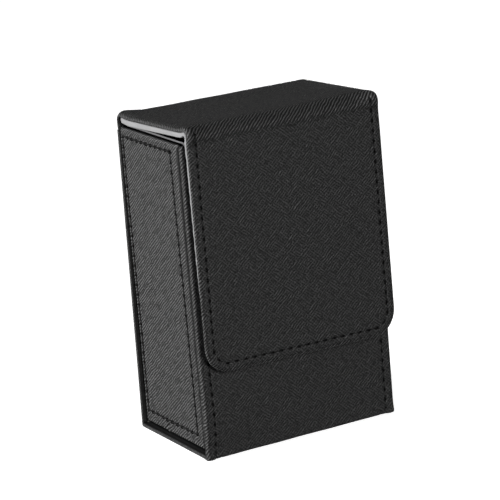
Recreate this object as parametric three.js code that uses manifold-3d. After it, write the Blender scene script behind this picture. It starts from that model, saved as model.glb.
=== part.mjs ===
// A card deck box: a leather-covered box with a hinged lid and a flap that falls over the front wall.
// Millimetres, +Z up, the flap in front at -Y. The origin is the middle of the base, on its resting face.
// One long cover of leather and board runs up the front, under the base, up the back, over the lid and
// down the flap. Two narrower side walls stand between its edges, and every wall is lined.

import * as THREE from 'three';
import { mergeVertices } from 'three/addons/utils/BufferGeometryUtils.js';
import Module from 'manifold-3d';

const wasm = await Module();
wasm.setup();

// Outside sizes
const WIDTH = 73.4;          // across the long cover
const DEPTH = 46;            // front to back over the cover, at the base
const HEIGHT = 110;          // top of the closed lid at its back edge
const FRONT_LEAN = 2.4;      // how far the front wall's top stands behind its foot
const LID_TILT = THREE.MathUtils.degToRad(2.5);    // the closed lid rises towards the front
const FLAP_TILT = THREE.MathUtils.degToRad(1.9);   // the flap's foot stands out from the front wall
const LID_LENGTH = 48.75;    // back edge to the corner of the fold
const FLAP_LENGTH = 81.4;    // corner of the fold to the flap's bottom edge
const FLAP_NARROWING = 0.35; // the flap is this much narrower than the lid on each side
const FLAP_CORNER = 9;       // radius of the flap's bottom corners

// Materials of the walls
const LEATHER = 0.5;
const GLUE = 0.2;            // clearance between two glued layers
const TURNED_EDGE = 1;       // room between a board's edge and the leather turned round it
const WALL_BOARD = 1.3;
const SIDE_BOARD = 0.9;
const LID_BOARD = 1;
const WALL_LINING = 0.6;
const LID_LINING = 1.8;
const FLAP_LINING_FOOT = 0.9;  // the flap's lining thins towards its bottom edge
const COVER = LEATHER + GLUE + WALL_BOARD;      // front, base and back
const LID_COVER = LEATHER + GLUE + LID_BOARD;   // lid and flap
const LID_STACK = LID_COVER + GLUE + LID_LINING;

// Heights of the walls
const FRONT_TOP = 105.5;
const BACK_TOP = 105.9;
const SIDE_PANEL_TOP = 105.2;
const SIDE_LINING_TOP = 106;
const BOARD_FOOT = 1.1;      // the upright boards stand clear of the cover's round bottom corners

// Side walls, stitching, soft corners and magnets
const SIDE_RECESS = 0.9;     // the side panels stand this far inside the cover's edges
const BASE_CORNER = 1;       // outer radius where the cover turns under the box
const HINGE_RADIUS = 3;      // outer radius of the back top corner
const FOLD_RADIUS = 5;       // outer radius of the front top corner
const THREAD_WIDTH = 0.5;
const THREAD_RISE = 0.25;
const THREAD_GAP = 0.1;
const WALL_STITCH_INSET = 3.3;
const FLAP_STITCH_INSET = 2.8;
const SIDE_STITCH = { front: 6.2, back: 2, bottom: 4.8, top: 2.9 };
const MAGNET_RADIUS = 5;
const MAGNET_THICKNESS = 0.9;
const MAGNET_X = 22;
const MAGNET_ABOVE_FLAP_FOOT = 14;

const HALF_WIDTH = WIDTH / 2;
const SIDE_FACE = HALF_WIDTH - SIDE_RECESS;
const SIDE_BOARD_FACE = SIDE_FACE - LEATHER - GLUE;
const SIDE_LINING_FACE = SIDE_BOARD_FACE - SIDE_BOARD - GLUE;
const INNER_HALF_WIDTH = SIDE_LINING_FACE - WALL_LINING;
const FLAP_HALF_WIDTH = HALF_WIDTH - FLAP_NARROWING;
const BOARD_HALF_WIDTH = HALF_WIDTH - LEATHER - TURNED_EDGE;
const FRONT_TILT = Math.atan(FRONT_LEAN / FRONT_TOP);

const leather = () => new THREE.MeshStandardMaterial({ color: 0x19191b, roughness: 0.55, metalness: 0 });
const board = () => new THREE.MeshStandardMaterial({ color: 0x8d8476, roughness: 0.9, metalness: 0 });
const lining = () => new THREE.MeshStandardMaterial({ color: 0x9d9d9f, roughness: 1, metalness: 0 });
const thread = () => new THREE.MeshStandardMaterial({ color: 0x101012, roughness: 0.7, metalness: 0 });
const steel = () => new THREE.MeshStandardMaterial({ color: 0xb4b6b8, roughness: 0.3, metalness: 1 });

// ---- Shapes ----

function outline(points) {
  return new THREE.Shape(points.map(([a, b]) => new THREE.Vector2(a, b)));
}

// A (y, z) outline drawn out along X, from x0 to x1.
function prismX(shape, x0, x1) {
  const settings = { depth: x1 - x0, bevelEnabled: false, curveSegments: 6 };
  const geometry = new THREE.ExtrudeGeometry(shape, settings);
  const yzx = new THREE.Matrix4().makeBasis(
    new THREE.Vector3(0, 1, 0), new THREE.Vector3(0, 0, 1), new THREE.Vector3(1, 0, 0));
  return geometry.applyMatrix4(yzx).translate(x0, 0, 0);
}

// An (x, z) outline drawn out along Y, from y0 to y1.
function plateY(shape, y0, y1) {
  const settings = { depth: y1 - y0, bevelEnabled: false, curveSegments: 10 };
  const geometry = new THREE.ExtrudeGeometry(shape, settings);
  return geometry.rotateX(Math.PI / 2).translate(0, y1, 0);
}

function block(x0, x1, y0, y1, z0, z1) {
  const geometry = new THREE.BoxGeometry(x1 - x0, y1 - y0, z1 - z0);
  return geometry.translate((x0 + x1) / 2, (y0 + y1) / 2, (z0 + z1) / 2);
}

function discY(radius, x, y0, y1, z) {
  return new THREE.CylinderGeometry(radius, radius, y1 - y0, 32).translate(x, (y0 + y1) / 2, z);
}

function toSolid(geometry) {
  const bare = geometry.clone();
  bare.deleteAttribute('normal');
  bare.deleteAttribute('uv');
  const merged = mergeVertices(bare, 1e-4);
  return new wasm.Manifold(new wasm.Mesh({
    numProp: 3,
    vertProperties: new Float32Array(merged.attributes.position.array),
    triVerts: new Uint32Array(merged.index.array),
  }));
}

function toGeometry(solid) {
  const mesh = solid.getMesh();
  const geometry = new THREE.BufferGeometry();
  geometry.setAttribute('position', new THREE.BufferAttribute(new Float32Array(mesh.vertProperties), 3));
  geometry.setIndex(new THREE.BufferAttribute(new Uint32Array(mesh.triVerts), 1));
  geometry.computeVertexNormals();
  return geometry;
}

function subtract(from, ...cutters) {
  return toGeometry(cutters.reduce((solid, cutter) => solid.subtract(toSolid(cutter)), toSolid(from)));
}

function join(first, ...others) {
  return toGeometry(others.reduce((solid, other) => solid.add(toSolid(other)), toSolid(first)));
}

function intersect(a, b) {
  return toGeometry(toSolid(a).intersect(toSolid(b)));
}

function place(parent, name, geometry, material) {
  const mesh = new THREE.Mesh(geometry, material);
  mesh.name = name;
  parent.add(mesh);
}

const SIDES = [['left', -1], ['right', 1]];

// A band of the given x limits on the side that `sign` names.
function sideSpan(sign, inner, outer) {
  return sign < 0 ? [-outer, -inner] : [inner, outer];
}

// The front wall's outer face at height z.
function frontFace(z) {
  return -DEPTH / 2 + FRONT_LEAN * z / FRONT_TOP;
}

// ---- The box ----

// The cover's run up the front, under the base and up the back, between two depths below its outer face.
function coverSection(near, far, frontTop) {
  const back = DEPTH / 2;
  const corner = Math.max(BASE_CORNER - near, 0.05);
  const shape = new THREE.Shape();
  shape.moveTo(frontFace(frontTop) + near, frontTop);
  shape.lineTo(frontFace(near + corner) + near, near + corner);
  shape.quadraticCurveTo(frontFace(near) + near, near, frontFace(near) + near + corner, near);
  shape.lineTo(back - near - corner, near);
  shape.quadraticCurveTo(back - near, near, back - near, near + corner);
  shape.lineTo(back - near, BACK_TOP);
  shape.lineTo(back - far, BACK_TOP);
  shape.lineTo(back - far, far);
  shape.lineTo(frontFace(far) + far, far);
  shape.lineTo(frontFace(frontTop) + far, frontTop);
  return shape;
}

// Leather over the outside of the boards, turned in over their side edges and the front wall's top edge.
function boxLeather() {
  const whole = prismX(coverSection(0, COVER, FRONT_TOP), -HALF_WIDTH, HALF_WIDTH);
  const inside = HALF_WIDTH - LEATHER;
  const boards = prismX(coverSection(LEATHER, COVER + 1, FRONT_TOP - LEATHER), -inside, inside);
  return subtract(whole, boards);
}

// A side wall's outline between the front and back boards, with its front edge parallel to the front wall.
function sideWallOutline(bottom, top, inset = 0) {
  const clear = COVER + GLUE + inset;
  return outline([
    [frontFace(bottom) + clear, bottom],
    [DEPTH / 2 - clear, bottom],
    [DEPTH / 2 - clear, top],
    [frontFace(top) + clear, top],
  ]);
}

// The side panel's leather, turned in over the top edge of its board.
function sideLeather(sign) {
  const bottom = COVER + GLUE;
  const innerEdge = SIDE_BOARD_FACE - SIDE_BOARD;
  const solid = prismX(sideWallOutline(bottom, SIDE_PANEL_TOP), ...sideSpan(sign, innerEdge, SIDE_FACE));
  const [x0, x1] = sideSpan(sign, innerEdge - 1, SIDE_FACE - LEATHER);
  return subtract(solid, block(x0, x1, -DEPTH, DEPTH, 0, SIDE_PANEL_TOP - LEATHER));
}

function sideBoard(sign) {
  const inset = LEATHER + TURNED_EDGE;
  const span = sideSpan(sign, SIDE_BOARD_FACE - SIDE_BOARD, SIDE_BOARD_FACE);
  return prismX(sideWallOutline(COVER + GLUE + inset, SIDE_PANEL_TOP - inset, inset), ...span);
}

function sideLining(sign) {
  const span = sideSpan(sign, INNER_HALF_WIDTH, SIDE_LINING_FACE);
  return prismX(sideWallOutline(COVER + GLUE, SIDE_LINING_TOP), ...span);
}

// A closed rectangle of thread on the side panel, its front side parallel to the front wall.
function sideThread(sign) {
  const low = COVER + GLUE + SIDE_STITCH.bottom;
  const high = SIDE_PANEL_TOP - SIDE_STITCH.top;
  const front = (z) => frontFace(z) + COVER + GLUE + SIDE_STITCH.front;
  const back = DEPTH / 2 - COVER - GLUE - SIDE_STITCH.back;
  const frame = (grow) => [
    [front(low) - grow, low - grow],
    [back + grow, low - grow],
    [back + grow, high + grow],
    [front(high) - grow, high + grow],
  ];
  const shape = outline(frame(THREAD_WIDTH / 2));
  shape.holes.push(outline(frame(-THREAD_WIDTH / 2)));
  return prismX(shape, ...sideSpan(sign, SIDE_FACE + THREAD_GAP, SIDE_FACE + THREAD_GAP + THREAD_RISE));
}

const MAGNET_HEIGHT = HEIGHT + LID_LENGTH * Math.sin(LID_TILT) - FLAP_LENGTH + MAGNET_ABOVE_FLAP_FOOT;

function magnetDisc(sign, face, z) {
  return discY(MAGNET_RADIUS, sign * MAGNET_X, face, face + MAGNET_THICKNESS, z);
}

// A line of thread up one side of the front or back wall, from just above the round bottom corner.
function uprightSeam(sign, face, top) {
  const x = sign * (HALF_WIDTH - WALL_STITCH_INSET);
  return block(x - THREAD_WIDTH / 2, x + THREAD_WIDTH / 2, face, face + THREAD_RISE, BASE_CORNER + 1, top);
}

// A wall board with a round pocket through it for each magnet.
function boardWithPockets(geometry, y0, y1, z) {
  const pockets = SIDES.map(([, sign]) => discY(MAGNET_RADIUS + GLUE, sign * MAGNET_X, y0 - 1, y1 + 1, z));
  return subtract(geometry, ...pockets);
}

// The front wall is built upright from its foot and leaned back as one group.
function buildFrontWall(box) {
  const wall = new THREE.Group();
  wall.position.set(0, -DEPTH / 2, 0);
  wall.rotation.x = -FRONT_TILT;
  box.add(wall);

  const half = BOARD_HALF_WIDTH;
  const foot = LEATHER + GLUE;
  const plain = block(-half, half, foot, COVER, BOARD_FOOT, FRONT_TOP - LEATHER - TURNED_EDGE);
  place(wall, 'front_board', boardWithPockets(plain, foot, COVER, MAGNET_HEIGHT), board());

  const liningHalf = INNER_HALF_WIDTH - GLUE;
  const liningFoot = COVER + 2 * GLUE + WALL_LINING;
  const liningFace = COVER + GLUE;
  const frontLining = block(-liningHalf, liningHalf, liningFace, liningFace + WALL_LINING,
    liningFoot, FRONT_TOP);
  place(wall, 'front_lining', frontLining, lining());

  const magnetFace = foot + (WALL_BOARD - MAGNET_THICKNESS) / 2;
  for (const [side, sign] of SIDES) {
    place(wall, `front_magnet_${side}`, magnetDisc(sign, magnetFace, MAGNET_HEIGHT), steel());
    const seam = uprightSeam(sign, -THREAD_GAP - THREAD_RISE, FRONT_TOP - 1);
    place(wall, `front_thread_${side}`, seam, thread());
  }
}

function buildBackAndBase(box) {
  const half = BOARD_HALF_WIDTH;
  const foot = LEATHER + GLUE;
  const back = DEPTH / 2;
  const backBoard = block(-half, half, back - COVER, back - foot, BOARD_FOOT, BACK_TOP - TURNED_EDGE);
  place(box, 'back_board', backBoard, board());
  const baseBoard = block(-half, half, frontFace(0) + COVER + 2 * GLUE, back - COVER - GLUE, foot, COVER);
  place(box, 'base_board', baseBoard, board());

  const liningHalf = INNER_HALF_WIDTH - GLUE;
  const floor = COVER + GLUE;
  const baseLining = block(-liningHalf, liningHalf, frontFace(0) + floor + GLUE, back - floor - GLUE,
    floor, floor + WALL_LINING);
  place(box, 'base_lining', baseLining, lining());
  const backLining = block(-liningHalf, liningHalf, back - floor - WALL_LINING, back - floor,
    floor + WALL_LINING + GLUE, BACK_TOP);
  place(box, 'back_lining', backLining, lining());

  for (const [side, sign] of SIDES) {
    place(box, `back_thread_${side}`, uprightSeam(sign, back + THREAD_GAP, BACK_TOP - 1), thread());
  }
}

function buildBox() {
  const box = new THREE.Group();
  place(box, 'box_leather', boxLeather(), leather());
  buildFrontWall(box);
  buildBackAndBase(box);
  for (const [side, sign] of SIDES) {
    place(box, `side_leather_${side}`, sideLeather(sign), leather());
    place(box, `side_board_${side}`, sideBoard(sign), board());
    place(box, `side_lining_${side}`, sideLining(sign), lining());
    place(box, `side_thread_${side}`, sideThread(sign), thread());
  }
  return box;
}

// ---- The lid: its outer back edge is the group's origin, and it runs towards -Y ----

// The lid's leather: round over the hinge at the back, flat on top, and the lid's half of the fold in front.
function lidLeather() {
  const flatEnd = -(LID_LENGTH - FOLD_RADIUS);
  const mitre = Math.PI / 4 - GLUE / FOLD_RADIUS;
  const section = new THREE.Shape();
  section.moveTo(0, -LID_STACK);
  section.lineTo(0, -HINGE_RADIUS);
  section.absarc(-HINGE_RADIUS, -HINGE_RADIUS, HINGE_RADIUS, 0, Math.PI / 2, false);
  section.lineTo(flatEnd, 0);
  section.absarc(flatEnd, -FOLD_RADIUS, FOLD_RADIUS, Math.PI / 2, Math.PI / 2 + mitre, false);
  section.absarc(flatEnd, -FOLD_RADIUS, FOLD_RADIUS - LEATHER, Math.PI / 2 + mitre, Math.PI / 2, true);
  section.lineTo(-HINGE_RADIUS, -LEATHER);
  section.absarc(-HINGE_RADIUS, -HINGE_RADIUS, HINGE_RADIUS - LEATHER, Math.PI / 2, 0, true);
  section.lineTo(-LEATHER, -LID_STACK);
  const turnedEdges = SIDES.map(([, sign]) => {
    const [x0, x1] = sideSpan(sign, HALF_WIDTH - LEATHER, HALF_WIDTH);
    return block(x0, x1, flatEnd, -HINGE_RADIUS, -LID_COVER, -LEATHER / 2);
  });
  return join(prismX(section, -HALF_WIDTH, HALF_WIDTH), ...turnedEdges);
}

// The lining's front end is cut at 45 degrees, where it meets the flap's lining inside the fold.
function lidLining() {
  const half = HALF_WIDTH - GLUE;
  const top = LID_COVER + GLUE;
  return prismX(outline([
    [-HINGE_RADIUS, -top],
    [-(LID_LENGTH - top - GLUE), -top],
    [-(LID_LENGTH - LID_STACK - GLUE), -LID_STACK],
    [-HINGE_RADIUS, -LID_STACK],
  ]), -half, half);
}

function buildLid() {
  const lid = new THREE.Group();
  lid.position.set(0, DEPTH / 2, HEIGHT);
  lid.rotation.x = -LID_TILT;
  place(lid, 'lid_leather', lidLeather(), leather());
  const half = BOARD_HALF_WIDTH;
  const front = -(LID_LENGTH - FOLD_RADIUS);
  place(lid, 'lid_board', block(-half, half, front, -HINGE_RADIUS, -LID_COVER, -LEATHER - GLUE), board());
  place(lid, 'lid_lining', lidLining(), lining());
  return lid;
}

// ---- The flap: the corner of the fold is the group's origin, and it hangs towards -Z ----

// The flap's face, shrunk by `inset` at its sides and bottom, from its round bottom corners up to `top`.
function flapOutline(inset, top) {
  const half = FLAP_HALF_WIDTH - inset;
  const foot = -FLAP_LENGTH + inset;
  const radius = FLAP_CORNER - inset;
  const shape = new THREE.Shape();
  shape.moveTo(half, top);
  shape.lineTo(-half, top);
  shape.lineTo(-half, foot + radius);
  shape.absarc(-half + radius, foot + radius, radius, Math.PI, 1.5 * Math.PI, false);
  shape.lineTo(half - radius, foot);
  shape.absarc(half - radius, foot + radius, radius, 1.5 * Math.PI, 2 * Math.PI, false);
  return shape;
}

// Leather over the flap's board, turned in round its edge, with the flap's half of the fold on top.
function flapLeather() {
  const shell = plateY(flapOutline(0, -FOLD_RADIUS), 0, LID_COVER);
  const pocket = plateY(flapOutline(LEATHER, -FOLD_RADIUS + 1), LEATHER, LID_COVER + 1);
  const mitre = Math.PI / 4 + GLUE / FOLD_RADIUS;
  const fold = new THREE.Shape();
  fold.moveTo(0, -FOLD_RADIUS - LEATHER);
  fold.lineTo(LEATHER, -FOLD_RADIUS - LEATHER);
  fold.lineTo(LEATHER, -FOLD_RADIUS);
  fold.absarc(FOLD_RADIUS, -FOLD_RADIUS, FOLD_RADIUS - LEATHER, Math.PI, Math.PI / 2 + mitre, true);
  fold.absarc(FOLD_RADIUS, -FOLD_RADIUS, FOLD_RADIUS, Math.PI / 2 + mitre, Math.PI, false);
  return join(subtract(shell, pocket), prismX(fold, -FLAP_HALF_WIDTH, FLAP_HALF_WIDTH));
}

function flapBoard() {
  const plain = plateY(flapOutline(LEATHER + TURNED_EDGE, -FOLD_RADIUS), LEATHER + GLUE, LID_COVER);
  return boardWithPockets(plain, 0, LID_COVER, -FLAP_LENGTH + MAGNET_ABOVE_FLAP_FOOT);
}

// The flap's lining, mitred at the fold and thinner at the foot.
function flapLining() {
  const face = LID_COVER + GLUE;
  const half = FLAP_HALF_WIDTH - GLUE;
  const section = outline([
    [face, -face - GLUE],
    [face, -FLAP_LENGTH],
    [face + FLAP_LINING_FOOT, -FLAP_LENGTH],
    [LID_STACK, -LID_STACK - GLUE],
  ]);
  return intersect(prismX(section, -half, half), plateY(flapOutline(GLUE, 0), 0, LID_STACK));
}

// One line of thread down the flap's left side, along its bottom and up its right side.
function flapThread() {
  const top = -FOLD_RADIUS - 0.5;
  const outer = plateY(flapOutline(FLAP_STITCH_INSET, top), -THREAD_GAP - THREAD_RISE, -THREAD_GAP);
  const inside = FLAP_STITCH_INSET + THREAD_WIDTH;
  return subtract(outer, plateY(flapOutline(inside, top + 1), -THREAD_GAP - THREAD_RISE - 1, 0));
}

function buildFlap() {
  const flap = new THREE.Group();
  flap.position.set(0, -LID_LENGTH, 0);
  flap.rotation.x = LID_TILT - FLAP_TILT;
  place(flap, 'flap_leather', flapLeather(), leather());
  place(flap, 'flap_board', flapBoard(), board());
  place(flap, 'flap_lining', flapLining(), lining());
  place(flap, 'flap_thread', flapThread(), thread());
  const magnetFace = LEATHER + GLUE + (LID_BOARD - MAGNET_THICKNESS) / 2;
  for (const [side, sign] of SIDES) {
    const height = -FLAP_LENGTH + MAGNET_ABOVE_FLAP_FOOT;
    place(flap, `flap_magnet_${side}`, magnetDisc(sign, magnetFace, height), steel());
  }
  return flap;
}

const deckBox = new THREE.Group();
const lidGroup = buildLid();
lidGroup.add(buildFlap());
deckBox.add(buildBox(), lidGroup);

export default deckBox;
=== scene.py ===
import math

import bmesh
import bpy
import numpy as np
from mathutils import Matrix, Vector


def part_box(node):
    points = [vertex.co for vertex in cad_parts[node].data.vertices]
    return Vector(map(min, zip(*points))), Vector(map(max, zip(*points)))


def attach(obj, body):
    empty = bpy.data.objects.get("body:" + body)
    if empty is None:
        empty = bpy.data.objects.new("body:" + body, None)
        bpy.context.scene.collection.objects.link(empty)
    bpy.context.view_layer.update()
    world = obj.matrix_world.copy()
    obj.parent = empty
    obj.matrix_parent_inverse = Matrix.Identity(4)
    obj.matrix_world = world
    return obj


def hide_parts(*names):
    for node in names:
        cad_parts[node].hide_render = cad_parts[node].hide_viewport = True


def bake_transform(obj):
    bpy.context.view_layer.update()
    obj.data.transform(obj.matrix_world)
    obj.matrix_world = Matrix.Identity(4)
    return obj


# A leather card deck box. The builders work in millimetres, in the CAD frame: +Z up, the flap in front at -Y.
# One sheet of leather runs up the back, over the lid and down the flap, so its pieces share one set of
# sheet coordinates: x across, and s along the sheet from the front wall's top edge.

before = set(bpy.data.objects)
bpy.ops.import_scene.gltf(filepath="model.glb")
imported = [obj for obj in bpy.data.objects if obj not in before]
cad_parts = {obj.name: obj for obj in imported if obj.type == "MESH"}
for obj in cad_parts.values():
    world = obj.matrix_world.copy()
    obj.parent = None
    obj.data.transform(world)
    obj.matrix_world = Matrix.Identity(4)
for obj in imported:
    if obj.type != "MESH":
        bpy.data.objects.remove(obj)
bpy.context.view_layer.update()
MM = 0.001


def cad_box(node):
    low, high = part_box(node)
    return np.array(low) / MM, np.array(high) / MM


# ---- Sizes, in millimetres and radians. The driving ones are the CAD's. ----

BOX_LOW, BOX_HIGH = cad_box("box_leather")
HALF_WIDTH = BOX_HIGH[0]
BACK_Y = BOX_HIGH[1]
FRONT_Y = BOX_LOW[1]
FRONT_TOP = 105.5
FRONT_LEAN = 2.4
HEIGHT = 110.0
LID_LENGTH = 48.75
LID_TILT = math.radians(2.5)
FLAP_LENGTH = 81.4
FLAP_TILT = math.radians(1.9)
FLAP_CORNER = 9.0
BASE_CORNER = 1.0
HINGE_RADIUS = 3.0
FOLD_RADIUS = 5.0

WALL = 2.0              # leather and board of the front, base and back
LID = 1.7               # leather and board of the lid and flap
WALL_EDGE = 1.75        # thickness of the box's turned edge
FLAP_EDGE = 1.05        # thickness of the flap's turned edge
LINING_FACE = 1.9       # where the lid's lining starts, below the leather's face
LINING_BACK = 3.75      # where the lid's lining ends
LINING_FOOT = 2.75      # where it ends at the flap's bottom edge
LINING_RIM_FOOT = 0.15  # its thickness round the flap's bottom rim
WALL_LINING = 0.6
SIDE_LINING_HALF = 20   # nominal half depth of a side's lining
GLUE = 0.2              # between two glued layers
SIDE_FACE = cad_box("side_leather_right")[1][0]
SIDE_DEPTH = 1.6        # from the side panel's face to the back of its board
SIDE_TOP = cad_box("side_leather_right")[1][2] + 0.3

STITCH_PITCH = 3.4
THREAD_RADIUS = 0.19
KNOT_RADIUS = 0.42      # the thread's bunched ends, where two stitches meet in one hole
THREAD_TIP = 0.12       # its very end, deep in the hole
CHANNEL_DEPTH = 0.14    # the shallow groove that a seam pulls into the leather
HOLE_DEPTH = 0.34       # how much deeper it is at each hole
GROOVE_WIDTH = 0.42
FLAP_SEAM = 3.1         # from the leather's edge to the seam
WALL_SEAM = 3.3
SEAM_STEP = 0.55        # mesh spacing along a seam
GROOVE_STEP = 0.27      # mesh spacing across a seam
PLAIN_STEP = 2.0        # mesh spacing on plain leather

PANEL_HALF = 21.0       # nominal half depth of a side panel, before its front edge leans
PANEL_FRONT_GAP = 1.25  # the dark joint between a side panel and the cover's edge
PANEL_BACK_GAP = 0.45
PANEL_FOOT = WALL + 0.85
FALL_WIDTH = 2.6        # the soft round of the panel's front edge
FALL_DEPTH = 0.75


# ---- The sheet's run ----

class Run:
    """Straight stretches joined by arcs in the (y, z) plane, measured by arc length. It turns to its left."""

    def __init__(self, corners, radii):
        self.corners = np.array(corners, float)
        steps = np.diff(self.corners, axis=0)
        self.headings = steps / np.linalg.norm(steps, axis=1)[:, None]
        self.turns = [math.acos(np.dot(a, b)) for a, b in zip(self.headings, self.headings[1:])]
        self.radii = radii
        self.reach = [r * math.tan(t / 2) for r, t in zip(radii, self.turns)]
        lengths = np.linalg.norm(steps, axis=1)
        self.arc_start, self.arc_end, s = [], [], 0.0
        for i, (radius, turn) in enumerate(zip(radii, self.turns)):
            cut = self.reach[i - 1] if i else 0.0
            s += lengths[i] - cut - self.reach[i]
            self.arc_start.append(s)
            s += radius * turn
            self.arc_end.append(s)
        self.length = s + lengths[-1] - self.reach[-1]

    def before(self, corner, distance):
        """Arc length of the point this far short of a sharp corner, along its straight."""
        return self.arc_start[corner] - (distance - self.reach[corner])

    def after(self, corner, distance):
        """Arc length of the point this far past a sharp corner, along its straight."""
        return self.arc_end[corner] + (distance - self.reach[corner])

    def at(self, s, depth):
        """Points at arc lengths s, this far inside the outer face."""
        s, depth = np.broadcast_arrays(np.asarray(s, float), np.asarray(depth, float))
        heading = np.zeros(s.shape + (2,))
        point = np.zeros(s.shape + (2,))
        starts = [0.0] + self.arc_end
        for i, start in enumerate(starts):
            here = s >= start if i else np.ones(s.shape, bool)
            first = self.corners[0] if i == 0 else self.corners[i] + self.headings[i] * self.reach[i - 1]
            point[here] = first + (s[here] - start)[:, None] * self.headings[i]
            heading[here] = self.headings[i]
        for i, radius in enumerate(self.radii):
            here = (s > self.arc_start[i]) & (s < self.arc_end[i])
            angle = (s[here] - self.arc_start[i]) / radius
            ahead, left = self.headings[i], np.array([-self.headings[i][1], self.headings[i][0]])
            entry = self.corners[i + 1] - ahead * self.reach[i]
            point[here] = (entry + np.sin(angle)[:, None] * ahead * radius
                           + (1 - np.cos(angle))[:, None] * left * radius)
            heading[here] = np.cos(angle)[:, None] * ahead + np.sin(angle)[:, None] * left
        inward = np.stack([-heading[..., 1], heading[..., 0]], -1)
        point = point + inward * depth[..., None]
        return self._mitre(point, s)

    def _mitre(self, point, s):
        """Inside a tight corner, keeps each side's points on its own side of the corner's mitre."""
        for i in range(len(self.radii)):
            across = self.headings[i] + self.headings[i + 1]
            across /= np.linalg.norm(across)
            past = (point - self.corners[i + 1]) @ across
            middle = (self.arc_start[i] + self.arc_end[i]) / 2
            near = np.abs(s - middle) < 6
            wrong = near & (((s <= middle) & (past > 0)) | ((s > middle) & (past < 0)))
            point[wrong] -= past[wrong][:, None] * across
        return point


LID_BACK = np.array([BACK_Y, HEIGHT])
FOLD = LID_BACK + LID_LENGTH * np.array([-math.cos(LID_TILT), math.sin(LID_TILT)])
FLAP_FOOT = FOLD + FLAP_LENGTH * np.array([-math.sin(FLAP_TILT), -math.cos(FLAP_TILT)])
COVER = Run(
    [(FRONT_Y + FRONT_LEAN, FRONT_TOP), (FRONT_Y, 0), (BACK_Y, 0), LID_BACK, FOLD, FLAP_FOOT],
    [BASE_CORNER, BASE_CORNER, HINGE_RADIUS, FOLD_RADIUS],
)
FRONT_FOOT, BACK_FOOT, HINGE_CORNER, FOLD_CORNER = range(4)
BACK_SEAM_END = COVER.before(HINGE_CORNER, 5.6)   # where the box's leather hands over to the hinge's
LID_SEAM = COVER.after(HINGE_CORNER, 9.0)         # where the hinge's leather hands over to the lid's
COVER_END = COVER.length


def smooth(low, high, value):
    """0 at `low` and 1 at `high`, easing in and out between them."""
    t = np.clip((value - low) / (high - low), 0, 1)
    return t * t * (3 - 2 * t)


def hump(value, middle, width):
    """1 at `middle`, and almost nothing two widths away."""
    return np.exp(-(((value - middle) / width) ** 2))


def ripple(a, b, seed, size=14.0):
    """A slow, small unevenness between -1 and 1."""
    draw = np.random.default_rng(seed)
    total = np.zeros(np.broadcast(a, b).shape)
    for _ in range(6):
        heading, phase = draw.uniform(0, 2 * math.pi, 2)
        pitch = size * draw.uniform(0.6, 1.8)
        total += np.sin((a * math.cos(heading) + b * math.sin(heading)) * 2 * math.pi / pitch + phase)
    return total / 6


def front_face(z):
    """The leaning front wall's outer face at this height."""
    return FRONT_Y + FRONT_LEAN * z / FRONT_TOP


def arc_middle(corner):
    return (COVER.arc_start[corner] + COVER.arc_end[corner]) / 2


def cover_bend(s):
    """1 where the leather is bent over the fold or the hinge, 0 where it lies flat."""
    total = 0.0
    for corner in (HINGE_CORNER, FOLD_CORNER):
        start, end = COVER.arc_start[corner], COVER.arc_end[corner]
        total = total + smooth(start - 2, start + 1.5, s) * smooth(end + 1, end - 2.5, s)
    return total


def cover_point(x, s, depth):
    """A point of the cover, from its sheet coordinates and its depth below the leather's face."""
    on_lid = smooth(COVER.arc_end[HINGE_CORNER], COVER.arc_start[FOLD_CORNER], s)
    fold_start = COVER.arc_start[FOLD_CORNER]
    on_flap = np.clip((s - fold_start) / (COVER_END - fold_start), 0, 1)
    width = 1 - 0.012 * on_lid + 0.011 * on_flap
    sideways = -0.62 * on_lid
    dropped = (0.55 + 0.014 * x) * on_flap
    yz = COVER.at(s + dropped, depth - cover_swell(x, s, depth))
    return np.stack([x * width + sideways, yz[..., 0], np.maximum(yz[..., 1], 0)], -1)


def cover_swell(x, s, depth):
    """How far the leather stands out of its plain shape: puffed corners, a full foot, a slow ripple.

    On the front wall only the outside swells, so that the board stays covered.
    """
    margin = smooth(HALF_WIDTH - 3.3, HALF_WIDTH - 2, np.abs(x))
    height = FRONT_TOP - s
    front = 0.8 * hump(height, 15, 13) * smooth(HALF_WIDTH, -HALF_WIDTH, x) * smooth(2, 8, height)
    front = np.where(s < FRONT_TOP, front, 0)
    foot = 0.4 * hump(s, arc_middle(FRONT_FOOT), 2.2) * margin
    at_end = smooth(HALF_WIDTH - 7, HALF_WIDTH - 0.5, np.abs(x))
    hinge_corner = 0.9 * hump(s, COVER.after(HINGE_CORNER, 2.0), 4.0) * hump(x, 2.5 - HALF_WIDTH, 3.6)
    tightness = 1.5 - 0.15 * smooth(0, HALF_WIDTH, x)
    fold_ends = tightness * hump(s, arc_middle(FOLD_CORNER), 2.5) * at_end
    towards_fold = smooth(COVER.arc_end[HINGE_CORNER], COVER.arc_start[FOLD_CORNER], s)
    past_fold = smooth(COVER.arc_start[FOLD_CORNER] - 1, COVER.arc_end[FOLD_CORNER], s)
    lifted = 0.5 * smooth(0, HALF_WIDTH, x) * towards_fold * (1 - past_fold)
    outside = 1 - smooth(0.4, 1.5, depth)
    return (front + foot) * outside + hinge_corner + fold_ends + lifted + 0.05 * ripple(x, s, 3)


# ---- Sheet meshes ----

def edge_profile(near, far, outer_radius, inner_radius, tuck, reach=None):
    """(inset, depth) points round a turned edge, from its tucked end to the start of its face.

    `reach` is how far in the outer rounding runs, where that is more than its depth.
    """
    reach = reach or outer_radius
    points = [(inner_radius + tuck, far)]
    for angle in np.linspace(0, math.pi / 2, 6):
        points.append((inner_radius * (1 - math.sin(angle)), far - inner_radius * (1 - math.cos(angle))))
    for angle in np.linspace(0, math.pi / 2, 7):
        points.append((reach * (1 - math.cos(angle)), near + outer_radius * (1 - math.sin(angle))))
    return points


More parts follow.
